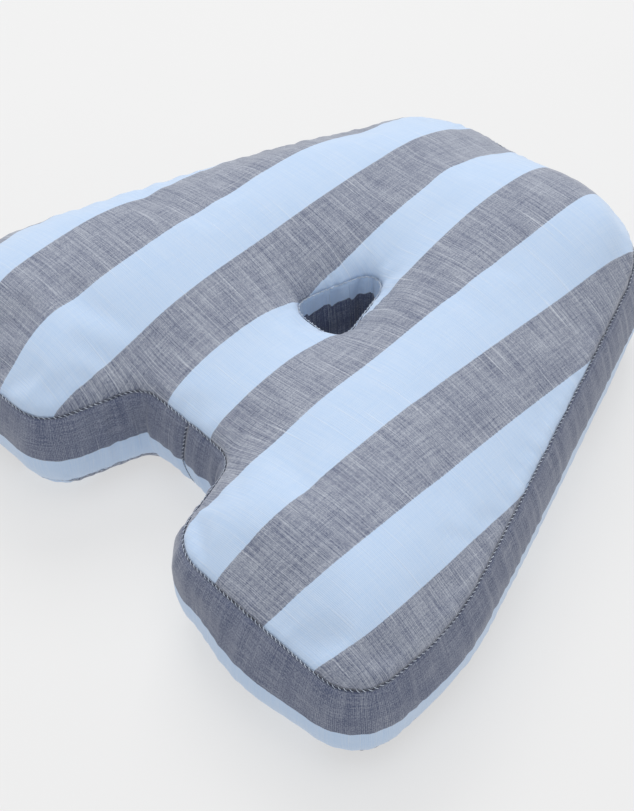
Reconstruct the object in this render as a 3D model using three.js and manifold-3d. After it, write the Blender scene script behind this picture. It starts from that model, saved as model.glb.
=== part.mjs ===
// A letter-A box cushion lying flat: zipped striped cover, seam threads, inner pad and fibre filling.
// Millimetres, +Z up, +Y from the feet to the top of the letter, +X to its right seen from above.
// The origin is on the floor under the middle of the whole object.
import * as THREE from "three";
import Module from "manifold-3d";

const wasm = await Module();
wasm.setup();

// ---- The letter, measured on the seam line that joins the top panel to the gusset.
const letterHeight = 368; // foot seam to apex seam
const footHalf = 204; // axis to the widest point of a foot
const apexHalf = 94; // axis to where the sloping side would meet the apex edge
const flankHeight = 74; // foot edge to where the sloping side would begin
const notchDepth = 64; // foot edge to the crossbar
const notchTopHalf = 39.5; // half the notch at the crossbar
const notchFootHalf = 58; // half the notch at the feet
const footOuterRadius = 32;
const footInnerRadius = 27;
const flankRadius = 150;
const apexRadius = 68;
const notchRadius = 13;
const holeBaseHeight = 164; // foot edge to the flat side of the hole
const holeSharpHeight = 78; // the hole's triangle before its corners are rounded
const holeSharpHalf = 23;
const holeRadius = 9.5;

// ---- Heights.
const bottomRise = 12; // floor to the bottom seam
const gussetHeight = 57.5; // bottom seam to top seam
const crown = 32.8; // top seam to the top of the cushion
const crownRun = 32; // how far in from the seam the top is reached
const bottomRun = 24; // how far in from the seam the cushion meets the floor
const gussetBulge = 7;
const holeBulge = 2;

// ---- Cloth, thread and the room between pieces.
const cloth = 1; // cover cloth with its turned edges
const casingCloth = 0.8;
const threadThickness = 0.8;
const gap = 0.3; // between any two pieces that touch
const padGap = 1; // cover to casing over the top and bottom
const fillingGap = 0.4; // casing to filling
const seamAllowance = 8; // panel edge turned down behind the gusset

// ---- The zip in the left outer side.
const zipMargin = 4.8; // end of the straight side to the join beside the zip
const sectionEnd = 5; // join to the tape's end
const tapeEnd = 10; // tape's end to the chain's end
const tapeHalf = 12; // zip centre line to the tape's outer edge
const tapeThickness = 0.5;
const coilWidth = 1.7;
const coilHeight = 1.6;
const rowGap = 1.2; // between the two coil rows
const sliderLength = 9;
const sliderHalf = 3.6;
const sliderPlate = 1;
const sliderPost = 0.6;
const flangeThickness = 0.7;
const facingRoom = 0.6; // slider to the folded edge beside it
const stopLength = 1.6;
const topstitchOut = 2.8; // folded edge to its row of topstitching
const bridgeHalfLength = 3.8;
const bridgeHalfWidth = 0.9;
const bridgeLeg = 1.2;
const bridgeRoof = 0.8;
const pinThickness = 0.9;
const pullLength = 22;
const pullHalf = 3;
const pullArm = 1.2;
const pullThickness = 0.9;

// ---- The blank care label in the join at the foot end of the zip section.
const labelLength = 28;
const labelHeight = 20;
const labelThickness = 0.5;

const arcStep = 12; // degrees of a cover corner per facet
const padArcStep = 22.5; // and of an inner piece's corner
const threadSides = 6;
const wallFacets = 3; // from a seam to the flat band

// ---- Values that follow.
const seamGroove = threadThickness / 2 + gap; // half the groove that a seam thread lies in
const threadInset = threadThickness / 2 + 0.1;
const allowanceInset = threadThickness + 0.1 + gap; // outer face of a turned edge
const bottomSeam = bottomRise;
const topSeam = bottomSeam + gussetHeight;
const topHeight = topSeam + crown;
const middle = (bottomSeam + topSeam) / 2;
const bandHalf = tapeHalf + 1; // half the flat band that the zip lies on
const joinHalf = seamGroove; // half the gap between two strip ends
const halfRow = rowGap / 2;
const facingEdge = sliderHalf + facingRoom;
const tapeFront = -cloth - gap;
const tapeBack = tapeFront - tapeThickness;
const coilBack = tapeFront + gap;
const coilFront = coilBack + coilHeight;
const plateBack = coilFront + gap;
const plateFront = plateBack + sliderPlate;
const rearFront = tapeBack - gap;
const rearBack = rearFront - sliderPlate;
const padInset = -rearBack + gap; // casing wall behind the zip slider
const pinCentre = plateFront + gap + pinThickness / 2;
const bridgeWindow = pinThickness + 2 * gap;
const centreY = -letterHeight / 2;
const gussetLow = bottomSeam + seamGroove;
const gussetTop = topSeam - seamGroove;

// ---- Outline: corners in order with the cloth on the left, each with its radius.
const at = (x, y, radius, marks = []) => ({ x, y: y + centreY, radius, marks });

const sideLength = Math.hypot(footHalf - apexHalf, letterHeight - flankHeight);
const sideTurn = Math.atan2(footHalf - apexHalf, letterHeight - flankHeight);
const sideStart = apexRadius * Math.tan((Math.PI / 2 - sideTurn) / 2);
const sideEnd = sideLength - flankRadius * Math.tan(sideTurn / 2);
const zipCentre = (sideStart + sideEnd) / 2; // along the left side, from its apex corner
const zipSection = sideEnd - sideStart - 2 * zipMargin;
const tapeLength = zipSection - 2 * sectionEnd;
const chainLength = tapeLength - 2 * tapeEnd;
const joinAt = notchTopHalf; // gusset join, along the crossbar edge from its left corner

const either = (name, where) => [
  { name: name + "_before", where: where - joinHalf },
  { name: name + "_after", where: where + joinHalf },
];

const letter = [
  at(-notchTopHalf, notchDepth, notchRadius, either("join", joinAt)),
  at(notchTopHalf, notchDepth, notchRadius),
  at(notchFootHalf, 0, footInnerRadius),
  at(footHalf, 0, footOuterRadius),
  at(footHalf, flankHeight, flankRadius),
  at(apexHalf, letterHeight, apexRadius),
  at(-apexHalf, letterHeight, apexRadius, [
    ...either("zip_apex", zipCentre - zipSection / 2),
    ...either("zip_foot", zipCentre + zipSection / 2),
  ]),
  at(-footHalf, flankHeight, flankRadius),
  at(-footHalf, 0, footOuterRadius),
  at(-notchFootHalf, 0, footInnerRadius),
];
const hole = [
  at(-holeSharpHalf, holeBaseHeight, holeRadius),
  at(0, holeBaseHeight + holeSharpHeight, holeRadius),
  at(holeSharpHalf, holeBaseHeight, holeRadius),
];

const edgeOf = (corners, i) => {
  const from = corners[i];
  const to = corners[(i + 1) % corners.length];
  const length = Math.hypot(to.x - from.x, to.y - from.y);
  const x = (to.x - from.x) / length;
  const y = (to.y - from.y) / length;
  return { x, y, inX: -y, inY: x };
};

// The outline moved into the cloth by inset, as points, and where each mark is among them.
function ringOf(corners, inset, step = arcStep) {
  const points = [];
  const marks = {};
  corners.forEach((corner, i) => {
    const before = edgeOf(corners, (i + corners.length - 1) % corners.length);
    const after = edgeOf(corners, i);
    const cosine = before.x * after.x + before.y * after.y;
    const turn = Math.atan2(before.x * after.y - before.y * after.x, cosine);
    const side = Math.sign(turn);
    const radius = Math.max(corner.radius - side * inset, 0.5);
    const back = radius * Math.tan(Math.abs(turn) / 2);
    const x = corner.x + (inset * (before.inX + after.inX)) / (1 + cosine);
    const y = corner.y + (inset * (before.inY + after.inY)) / (1 + cosine);
    const midX = x - before.x * back + side * before.inX * radius;
    const midY = y - before.y * back + side * before.inY * radius;
    const facets = Math.max(2, Math.round(THREE.MathUtils.radToDeg(Math.abs(turn)) / step));
    for (let k = 0; k <= facets; k++) {
      const a = (turn * k) / facets;
      const outX = -side * before.inX * radius;
      const outY = -side * before.inY * radius;
      points.push([
        midX + outX * Math.cos(a) - outY * Math.sin(a),
        midY + outX * Math.sin(a) + outY * Math.cos(a),
      ]);
    }
    for (const { name, where } of corner.marks) {
      marks[name] = points.length;
      points.push([
        corner.x + after.x * where + after.inX * inset,
        corner.y + after.y * where + after.inY * inset,
      ]);
    }
  });
  return { points, marks };
}

// Triangles of a flat shape, anticlockwise, as indices into its contour and then its holes.
function flatFaces(contour, holes = []) {
  const vectors = (list) => list.map(([x, y]) => new THREE.Vector2(x, y));
  const all = [contour, ...holes].flat();
  const faces = THREE.ShapeUtils.triangulateShape(vectors(contour), holes.map(vectors));
  return faces.map(([a, b, c]) => {
    const [p, q, r] = [all[a], all[b], all[c]];
    const area = (q[0] - p[0]) * (r[1] - p[1]) - (q[1] - p[1]) * (r[0] - p[0]);
    return area > 0 ? [a, b, c] : [a, c, b];
  });
}

// Collects the points and triangles of one closed surface.
class Skin {
  positions = [];
  index = [];

  add(points) {
    const start = this.positions.length / 3;
    points.forEach((p) => this.positions.push(...p));
    return start;
  }

  faces(list, offset, flip) {
    for (const [a, b, c] of list) {
      this.index.push(offset(a), offset(flip ? c : b), offset(flip ? b : c));
    }
  }

  // Quads between two rows of points; the last point meets the first when closed.
  band(low, high, count, closed) {
    for (let i = 0; i < count - (closed ? 0 : 1); i++) {
      const j = (i + 1) % count;
      this.index.push(low + i, low + j, high + j, low + i, high + j, high + i);
    }
  }

  geometry() {
    const made = new THREE.BufferGeometry();
    made.setAttribute("position", new THREE.Float32BufferAttribute(this.positions, 3));
    made.setIndex(this.index);
    return made;
  }
}

// A body of the letter's shape. Each profile is [inset, z] from the lower face to the upper one.
function letterBody(outerProfile, holeProfile, step) {
  const skin = new Skin();
  const sides = [
    [letter, outerProfile],
    [hole, holeProfile],
  ].map(([corners, profile]) => {
    const rings = profile.map(([inset]) => ringOf(corners, inset, step).points);
    const starts = rings.map((ring, i) => skin.add(ring.map(([x, y]) => [x, y, profile[i][1]])));
    for (let i = 0; i + 1 < starts.length; i++) {
      skin.band(starts[i], starts[i + 1], rings[i].length, true);
    }
    return { rings, starts, count: rings[0].length };
  });
  for (const [end, flip] of [
    [0, true],
    [-1, false],
  ]) {
    const [outer, inner] = sides;
    const faces = flatFaces(outer.rings.at(end), [inner.rings.at(end)]);
    const offset = (i) =>
      i < outer.count ? outer.starts.at(end) + i : inner.starts.at(end) + i - outer.count;
    skin.faces(faces, offset, flip);
  }
  return skin.geometry();
}

// A closed section of [inset, z], outer side first going up, carried along the outline.
function carried(corners, section, step, from, to) {
  const skin = new Skin();
  const whole = from === undefined;
  let count = 0;
  const starts = section.map(([inset, z]) => {
    const { points, marks } = ringOf(corners, inset, step);
    const first = whole ? 0 : marks[from];
    const last = whole ? points.length - 1 : marks[to];
    const length = ((last - first + points.length) % points.length) + 1;
    count = length;
    const run = Array.from({ length }, (_, i) => points[(first + i) % points.length]);
    return skin.add(run.map(([x, y]) => [x, y, z]));
  });
  starts.forEach((start, i) => skin.band(start, starts[(i + 1) % starts.length], count, whole));
  if (!whole) {
    const faces = flatFaces(section.map(([inset, z]) => [-inset, z]));
    skin.faces(faces, (i) => starts[i], false);
    skin.faces(faces, (i) => starts[i] + count - 1, true);
  }
  return skin.geometry();
}

// A quarter ellipse from the seam in to the flat, as [inset, z].
function quarter(startInset, endInset, startZ, endZ, facets) {
  return Array.from({ length: facets + 1 }, (_, k) => {
    const a = (k / facets) * (Math.PI / 2);
    return [
      startInset + (endInset - startInset) * (1 - Math.cos(a)),
      startZ + (endZ - startZ) * Math.sin(a),
    ];
  });
}

// The gusset's face going up: bulged, with a flat band at mid-height. Shift moves it inwards.
function wallFace(bulge, shift, low = gussetLow, high = gussetTop) {
  const rise = Array.from({ length: wallFacets + 1 }, (_, k) => {
    const u = k / wallFacets;
    return [-bulge * Math.sin((u * Math.PI) / 2) + shift, u];
  });
  const under = rise.map(([inset, u]) => [inset, gussetLow + u * (middle - bandHalf - gussetLow)]);
  const over = rise.map(([inset, u]) => [inset, gussetTop + u * (middle + bandHalf - gussetTop)]);
  under[0][1] = low;
  over[0][1] = high;
  return [...under, ...over.reverse()];
}

// A wall's section: the outer face going up, then the inner face coming down.
const thickened = (outer, thickness) => [
  ...outer,
  ...outer.map(([inset, z]) => [inset + thickness, z]).reverse(),
];

const group = new THREE.Group();
group.name = "letter_cushion";

function put(name, geometry, colour, roughness = 0.85, metalness = 0) {
  const material = new THREE.MeshStandardMaterial({ color: colour, roughness, metalness });
  const made = new THREE.Mesh(geometry, material);
  made.name = name;
  group.add(made);
  return made;
}

const lightBlue = 0xc6dbf1;
const navyGrey = 0x7c879b;
const threadColour = 0xe9eef5;
const casingColour = 0xf4f3ee;
const fibreColour = 0xfbfbf8;
const tapeColour = 0x5c6880;
const metalColour = 0x9aa1a8;
const labelColour = 0xf7f7f5;

// ---- Cover panels: domed cloth whose edges turn in behind the gusset and the hole lining.
const wallInset = (bulge, z) => {
  const rows = wallFace(bulge, 0);
  const i = Math.max(1, rows.findIndex((row) => row[1] >= z));
  const share = (z - rows[i - 1][1]) / (rows[i][1] - rows[i - 1][1]);
  return THREE.MathUtils.lerp(rows[i - 1][0], rows[i][0], share);
};
function panelProfile(bulge, seam, face, run, facets) {
  const way = Math.sign(face - seam);
  const edge = seam + way * seamGroove;
  const bend = seam - way * seamGroove;
  const hem = seam - way * seamAllowance;
  const hemInset = wallInset(bulge, hem) + cloth + gap;
  const turned = allowanceInset + cloth;
  return [
    ...quarter(turned, run, edge, face - way * cloth, facets).reverse(),
    [turned, bend],
    [hemInset + cloth, hem],
    [hemInset, hem],
    [allowanceInset, bend],
    [allowanceInset, edge],
    ...quarter(0, run, edge, face, facets),
  ];
}
function panel(seam, face, run, facets) {
  const profiles = [gussetBulge, holeBulge].map((bulge) =>
    panelProfile(bulge, seam, face, run, facets),
  );
  return letterBody(...(face > seam ? profiles : profiles.map((profile) => profile.reverse())));
}
put("cover_top_panel", panel(topSeam, topHeight, crownRun, 6), lightBlue);
put("cover_bottom_panel", panel(bottomSeam, 0, bottomRun, 4), lightBlue);

// ---- Gusset: two long strips, and two half-height strips that carry the zip.
const gussetSection = thickened(wallFace(gussetBulge, 0), cloth);
const strips = [
  ["gusset_strip_right", "join_after", "zip_apex_before"],
  ["gusset_strip_left", "zip_foot_after", "join_before"],
];
for (const [name, from, to] of strips) {
  put(name, carried(letter, gussetSection, arcStep, from, to), navyGrey);
}
function facingSection(way) {
  const half = wallFace(gussetBulge, 0).filter(([, z]) => way * (z - middle) > 0);
  const fold = [-gussetBulge, middle + way * facingEdge];
  return thickened(way > 0 ? [fold, ...half] : [...half, fold], cloth);
}
const facings = [
  ["zip_facing_upper", 1, navyGrey],
  ["zip_facing_lower", -1, lightBlue],
];
for (const [name, way, colour] of facings) {
  const strip = carried(letter, facingSection(way), arcStep, "zip_apex_after", "zip_foot_before");
  put(name, strip, colour);
}

// ---- Lining of the through hole.
const liningSection = thickened(wallFace(holeBulge, 0), cloth);
put("hole_lining_strip", carried(hole, liningSection, arcStep), navyGrey);

// ---- Seam threads: a ring in the groove of every long seam.
const threadSection = (z) =>
  Array.from({ length: threadSides }, (_, k) => {
    const a = (k / threadSides) * 2 * Math.PI;
    const radius = threadThickness / 2;
    return [threadInset - radius * Math.cos(a), z + radius * Math.sin(a)];
  });
const seamRings = [
  ["seam_thread_top_outer", letter, topSeam],
  ["seam_thread_bottom_outer", letter, bottomSeam],
  ["seam_thread_top_hole", hole, topSeam],
  ["seam_thread_bottom_hole", hole, bottomSeam],
];
for (const [name, corners, z] of seamRings) {
  put(name, carried(corners, threadSection(z), arcStep), threadColour, 0.7);
}

// An upright thread in the gap between two strip ends, following the wall.
function uprightThread(corner, where) {
  const edge = edgeOf(letter, letter.indexOf(corner));
  const skin = new Skin();
  const face = wallFace(gussetBulge, cloth / 2, gussetLow + gap, gussetTop - gap);
  const sides = Array.from({ length: threadSides }, (_, k) => (k / threadSides) * 2 * Math.PI);
  const rows = face.map(([inset, z]) => {
    const row = sides.map((a) => {
      const along = where - (threadThickness / 2) * Math.cos(a);
      const deep = inset + (threadThickness / 2) * Math.sin(a);
      return [
        corner.x + edge.x * along + edge.inX * deep,
        corner.y + edge.y * along + edge.inY * deep,
        z,
      ];
    });
    return skin.add(row);
  });
  for (let i = 0; i + 1 < rows.length; i++) {
    skin.band(rows[i + 1], rows[i], threadSides, true);
  }
  const fan = Array.from({ length: threadSides - 2 }, (_, i) => [0, i + 1, i + 2]);
  skin.faces(fan, (i) => rows[0] + i, false);
  skin.faces(fan, (i) => rows.at(-1) + i, true);
  return skin.geometry();
}
const zipCorner = letter[6];
const uprights = [
  ["seam_thread_gusset_join", letter[0], joinAt],
  ["seam_thread_zip_end_apex", zipCorner, zipCentre - zipSection / 2],
  ["seam_thread_zip_end_foot", zipCorner, zipCentre + zipSection / 2],
];
for (const [name, corner, where] of uprights) {
  put(name, uprightThread(corner, where), threadColour, 0.7);
}

// ---- Inner pad: a sewn casing of four pieces, and the fibre it holds.
const casingTop = topHeight - cloth - padGap;
const casingBottom = cloth + padGap;
function casingProfile(seam, face, run) {
  const way = Math.sign(face - seam);
  const edge = seam + (way * gap) / 2;
  const inner = quarter(padInset + casingCloth, run, edge, face - way * casingCloth, 4).reverse();
  return [...inner, ...quarter(padInset, run, edge, face, 4)];
}
const casingUp = casingProfile(topSeam, casingTop, crownRun);
const casingDown = casingProfile(bottomSeam, casingBottom, bottomRun).reverse();
put("pad_casing_top", letterBody(casingUp, casingUp, padArcStep), casingColour);
put("pad_casing_bottom", letterBody(casingDown, casingDown, padArcStep), casingColour);
const casingWalls = [
  ["pad_casing_wall", letter, gussetBulge],
  ["pad_casing_hole_wall", hole, holeBulge],
];
const wallLow = bottomSeam + gap / 2;
const wallTop = topSeam - gap / 2;
for (const [name, corners, bulge] of casingWalls) {
  const section = thickened(wallFace(bulge, padInset, wallLow, wallTop), casingCloth);
  put(name, carried(corners, section, padArcStep), casingColour);
}
const fillInset = padInset + casingCloth + fillingGap;
function fillingProfile(bulge) {
  const low = casingBottom + casingCloth + fillingGap;
  const high = casingTop - casingCloth - fillingGap;
  const under = quarter(fillInset, bottomRun, bottomSeam, low, 4).reverse();
  const over = quarter(fillInset, crownRun, topSeam, high, 4);
  const wall = wallFace(bulge, fillInset).slice(1, -1);
  return [...under, ...wall, ...over];
}
const filling = letterBody(fillingProfile(gussetBulge), fillingProfile(holeBulge), padArcStep);
put("fibre_filling", filling, fibreColour, 1);

// ---- Zip, in its own frame: x towards the feet, y up, z out of the cushion.
const zipEdge = edgeOf(letter, 6);
const outX = -zipEdge.inX;
const outY = -zipEdge.inY;
const zipFrame = new THREE.Matrix4().makeBasis(
  new THREE.Vector3(zipEdge.x, zipEdge.y, 0),
  new THREE.Vector3(0, 0, 1),
  new THREE.Vector3(outX, outY, 0),
);
zipFrame.setPosition(
  zipCorner.x + zipEdge.x * zipCentre + outX * gussetBulge,
  zipCorner.y + zipEdge.y * zipCentre + outY * gussetBulge,
  middle,
);
const box = (x0, x1, y0, y1, z0, z1) =>
  new THREE.BoxGeometry(x1 - x0, y1 - y0, z1 - z0).translate(
    (x0 + x1) / 2,
    (y0 + y1) / 2,
    (z0 + z1) / 2,
  );
const putZip = (name, geometry, colour, roughness, metalness) =>
  put(name, geometry.applyMatrix4(zipFrame), colour, roughness, metalness);

// A section in y and z carried along x.
function alongZip(section, x0, x1) {
  const shape = new THREE.Shape(section.map(([y, z]) => new THREE.Vector2(y, z)));
  const made = new THREE.ExtrudeGeometry(shape, { depth: x1 - x0, bevelEnabled: false });
  const turn = new THREE.Matrix4().set(0, 0, 1, x0, 1, 0, 0, 0, 0, 1, 0, 0, 0, 0, 0, 1);
  return made.applyMatrix4(turn);
}

const chainHalf = chainLength / 2;
for (const [side, way] of [
  ["upper", 1],
  ["lower", -1],
]) {
  const span = (y0, y1) => [Math.min(way * y0, way * y1), Math.max(way * y0, way * y1)];
  const tapeSpan = span(halfRow, tapeHalf);
  const tape = box(-tapeLength / 2, tapeLength / 2, ...tapeSpan, tapeBack, tapeFront);
  putZip("zip_tape_" + side, tape, tapeColour);

  const coilMid = halfRow + coilWidth / 2;
  const coilSection = Array.from({ length: 8 }, (_, k) => {
    const a = ((k + 0.5) / 8) * 2 * Math.PI;
    const reach = 1 / Math.cos(Math.PI / 8);
    return [
      way * coilMid + (coilWidth / 2) * reach * Math.cos(a),
      (coilBack + coilFront) / 2 + (coilHeight / 2) * reach * Math.sin(a),
    ];
  });
  putZip("zip_coil_" + side, alongZip(coilSection, -chainHalf, chainHalf), tapeColour, 0.5);

  const stopSpan = span(halfRow, halfRow + coilWidth);
  const stopEnd = -chainHalf - gap;
  const stop = box(stopEnd - stopLength, stopEnd, ...stopSpan, coilBack, coilFront);
  putZip("zip_top_stop_" + side, stop, metalColour, 0.35, 0.9);

  const rowY = way * (facingEdge + topstitchOut);
  const rowZ = gap + threadThickness / 2;
  const rowSection = Array.from({ length: threadSides }, (_, k) => {
    const a = (k / threadSides) * 2 * Math.PI;
    return [
      rowY + (threadThickness / 2) * Math.cos(a),
      rowZ + (threadThickness / 2) * Math.sin(a),
    ];
  });
  const rowHalf = zipSection / 2 - joinHalf - gap;
  putZip("topstitch_thread_" + side, alongZip(rowSection, -rowHalf, rowHalf), threadColour, 0.7);
}
const lowStop = chainHalf + gap;
const stopHalf = halfRow + coilWidth;
putZip(
  "zip_bottom_stop",
  box(lowStop, lowStop + stopLength, -stopHalf, stopHalf, coilBack, coilFront),
  metalColour,
  0.35,
  0.9,
);

// Joins geometries that share volume into one closed body.
function joined(list) {
  const solids = list.map((geometry) => {
    const g = geometry.index ? geometry.toNonIndexed() : geometry;
    const seen = new Map();
    const points = [];
    const triVerts = [];
    const position = g.getAttribute("position");
    for (let i = 0; i < position.count; i++) {
      const p = [position.getX(i), position.getY(i), position.getZ(i)];
      const key = p.map((v) => Math.round(v * 1e4)).join();
      if (!seen.has(key)) {
        seen.set(key, points.length / 3);
        points.push(...p);
      }
      triVerts.push(seen.get(key));
    }
    return new wasm.Manifold(
      new wasm.Mesh({
        numProp: 3,
        vertProperties: new Float32Array(points),
        triVerts: new Uint32Array(triVerts),
      }),
    );
  });
  const mesh = solids.reduce((a, b) => a.add(b)).getMesh();
  const made = new THREE.BufferGeometry();
  made.setAttribute("position", new THREE.Float32BufferAttribute(mesh.vertProperties, 3));
  made.setIndex(Array.from(mesh.triVerts));
  return made;
}

// ---- Slider at the closed end: two plates held apart by the nose post, and the pull's bridge.
const sliderNose = -chainHalf + gap;
const sliderTail = sliderNose + sliderLength;
const sliderMid = (sliderNose + sliderTail) / 2;
const bite = 0.1; // how far joined pieces run into each other
const bridgeTop = plateFront + bridgeWindow + bridgeRoof;
const bridgeEnds = [sliderMid - bridgeHalfLength, sliderMid + bridgeHalfLength];
const slider = joined([
  box(sliderNose, sliderTail, -sliderHalf, sliderHalf, plateBack, plateFront),
  box(sliderNose, sliderTail, -sliderHalf, sliderHalf, rearBack, rearFront),
  box(
    sliderNose + 0.5,
    sliderNose + 2.5,
    -sliderPost / 2,
    sliderPost / 2,
    rearFront - bite,
    plateBack + bite,
  ),
  ...[-1, 1].map((way) => {
    const ends = [way * sliderHalf, way * (sliderHalf - flangeThickness)].sort((a, b) => a - b);
    return box(sliderNose, sliderTail, ...ends, tapeFront + gap, plateBack + bite);
  }),
  ...bridgeEnds.map((x, i) => {
    const inner = i ? x - bridgeLeg : x + bridgeLeg;
    const [x0, x1] = [x, inner].sort((a, b) => a - b);
    return box(x0, x1, -bridgeHalfWidth, bridgeHalfWidth, plateFront - bite, bridgeTop);
  }),
  box(
    ...bridgeEnds,
    -bridgeHalfWidth,
    bridgeHalfWidth,
    plateFront + bridgeWindow,
    bridgeTop,
  ),
]);
putZip("zip_slider", slider, metalColour, 0.3, 0.9);

// ---- Pull: a pin through the bridge, two arms beside it and a tab with rounded ends.
const armInner = bridgeHalfWidth + gap;
const windowEnd = Math.hypot(bridgeHalfLength, bridgeTop - pinCentre) + 2 * gap;
const half = pullThickness / 2;
const tabShape = new THREE.Shape();
tabShape.moveTo(sliderMid + windowEnd, -pullHalf + 0.6);
tabShape.lineTo(sliderMid + pullLength - pullHalf, -pullHalf);
tabShape.absarc(sliderMid + pullLength - pullHalf, 0, pullHalf, -Math.PI / 2, Math.PI / 2, false);
tabShape.lineTo(sliderMid + windowEnd, pullHalf - 0.6);
tabShape.closePath();
const tab = new THREE.ExtrudeGeometry(tabShape, {
  depth: pullThickness,
  bevelEnabled: false,
  curveSegments: 8,
}).translate(0, 0, pinCentre - half);
const pin = new THREE.CylinderGeometry(
  pinThickness / 2,
  pinThickness / 2,
  2 * (armInner + pullArm),
  12,
).translate(sliderMid, 0, pinCentre);
const pull = joined([
  tab,
  pin,
  ...[-1, 1].map((way) => {
    const ends = [way * armInner, way * (armInner + pullArm)].sort((a, b) => a - b);
    return box(
      sliderMid,
      sliderMid + windowEnd + bite,
      ...ends,
      pinCentre - half + bite / 2,
      pinCentre + half - bite / 2,
    );
  }),
]);
putZip("zip_pull", pull, metalColour, 0.3, 0.9);

// ---- Blank label caught in the join at the foot end of the zip section.
const labelStart = zipSection / 2 + joinHalf + gap;
putZip(
  "care_label",
  box(
    labelStart,
    labelStart + labelLength,
    -labelHeight / 2,
    labelHeight / 2,
    gap,
    gap + labelThickness,
  ),
  labelColour,
  0.6,
);

export default group;
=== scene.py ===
import math

import bmesh
import bpy
import numpy as np
from mathutils import Matrix, Vector
from mathutils.geometry import delaunay_2d_cdt
from mathutils.kdtree import KDTree


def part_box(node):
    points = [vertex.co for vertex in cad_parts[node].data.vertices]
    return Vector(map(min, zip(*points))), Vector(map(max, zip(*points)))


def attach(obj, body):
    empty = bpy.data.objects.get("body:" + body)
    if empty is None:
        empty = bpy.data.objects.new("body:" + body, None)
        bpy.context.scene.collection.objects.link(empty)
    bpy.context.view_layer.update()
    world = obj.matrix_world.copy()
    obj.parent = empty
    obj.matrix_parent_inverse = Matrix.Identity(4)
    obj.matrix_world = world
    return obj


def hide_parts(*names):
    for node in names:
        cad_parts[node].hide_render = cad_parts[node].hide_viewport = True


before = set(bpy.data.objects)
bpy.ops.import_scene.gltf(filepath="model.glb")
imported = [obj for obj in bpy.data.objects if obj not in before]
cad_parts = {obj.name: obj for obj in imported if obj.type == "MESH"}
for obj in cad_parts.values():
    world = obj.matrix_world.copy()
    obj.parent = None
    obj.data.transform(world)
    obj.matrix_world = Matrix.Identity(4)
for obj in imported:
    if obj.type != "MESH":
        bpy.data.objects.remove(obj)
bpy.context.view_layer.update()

# ---- Stage and camera -------------------------------------------------------------------
# The cushion lies on a seamless pale floor and is seen from above its right foot. The camera
# is aimed at a place on the top seam's plane, and its place is given from there.
top_seam_z = float(np.mean([corner[2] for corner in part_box("seam_thread_top_outer")]))
bottom_seam_z = float(np.mean([corner[2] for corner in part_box("seam_thread_bottom_outer")]))
aim = Vector((0.0437, -0.0590, top_seam_z))
camera_turn = math.radians(49.07)
camera_height = math.radians(48.92)
camera_roll = math.radians(-3.43)
camera_distance = 0.950
camera_data = bpy.data.cameras.new("camera")
camera_data.lens = 73.4
camera_data.sensor_width = 36
camera_data.clip_start = 0.05
camera = bpy.data.objects.new("camera", camera_data)
back = Vector(
    (
        math.sin(camera_turn) * math.cos(camera_height),
        -math.cos(camera_turn) * math.cos(camera_height),
        math.sin(camera_height),
    )
)
camera.location = aim + back * camera_distance
level = Vector((0, 0, 1)).cross(back).normalized()
right = level * math.cos(camera_roll) + back.cross(level) * math.sin(camera_roll)
camera.rotation_euler = Matrix((right, back.cross(right), back)).transposed().to_euler()
bpy.context.collection.objects.link(camera)
bpy.context.scene.camera = camera
bpy.context.scene.view_settings.view_transform = "Standard"


class Value:
    """A number or colour that varies over a surface; operators add the Math nodes."""

    def __init__(self, recipe, socket):
        self.recipe, self.socket = recipe, socket

    def math(self, operation, *sides):
        return self.recipe.node("Math", {"operation": operation}, dict(enumerate(sides)))

    def __add__(self, other):
        return self.math("ADD", self, other)

    def __sub__(self, other):
        return self.math("SUBTRACT", self, other)

    def __rsub__(self, other):
        return self.math("SUBTRACT", other, self)

    def __mul__(self, other):
        return self.math("MULTIPLY", self, other)

    __radd__, __rmul__ = __add__, __mul__


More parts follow.
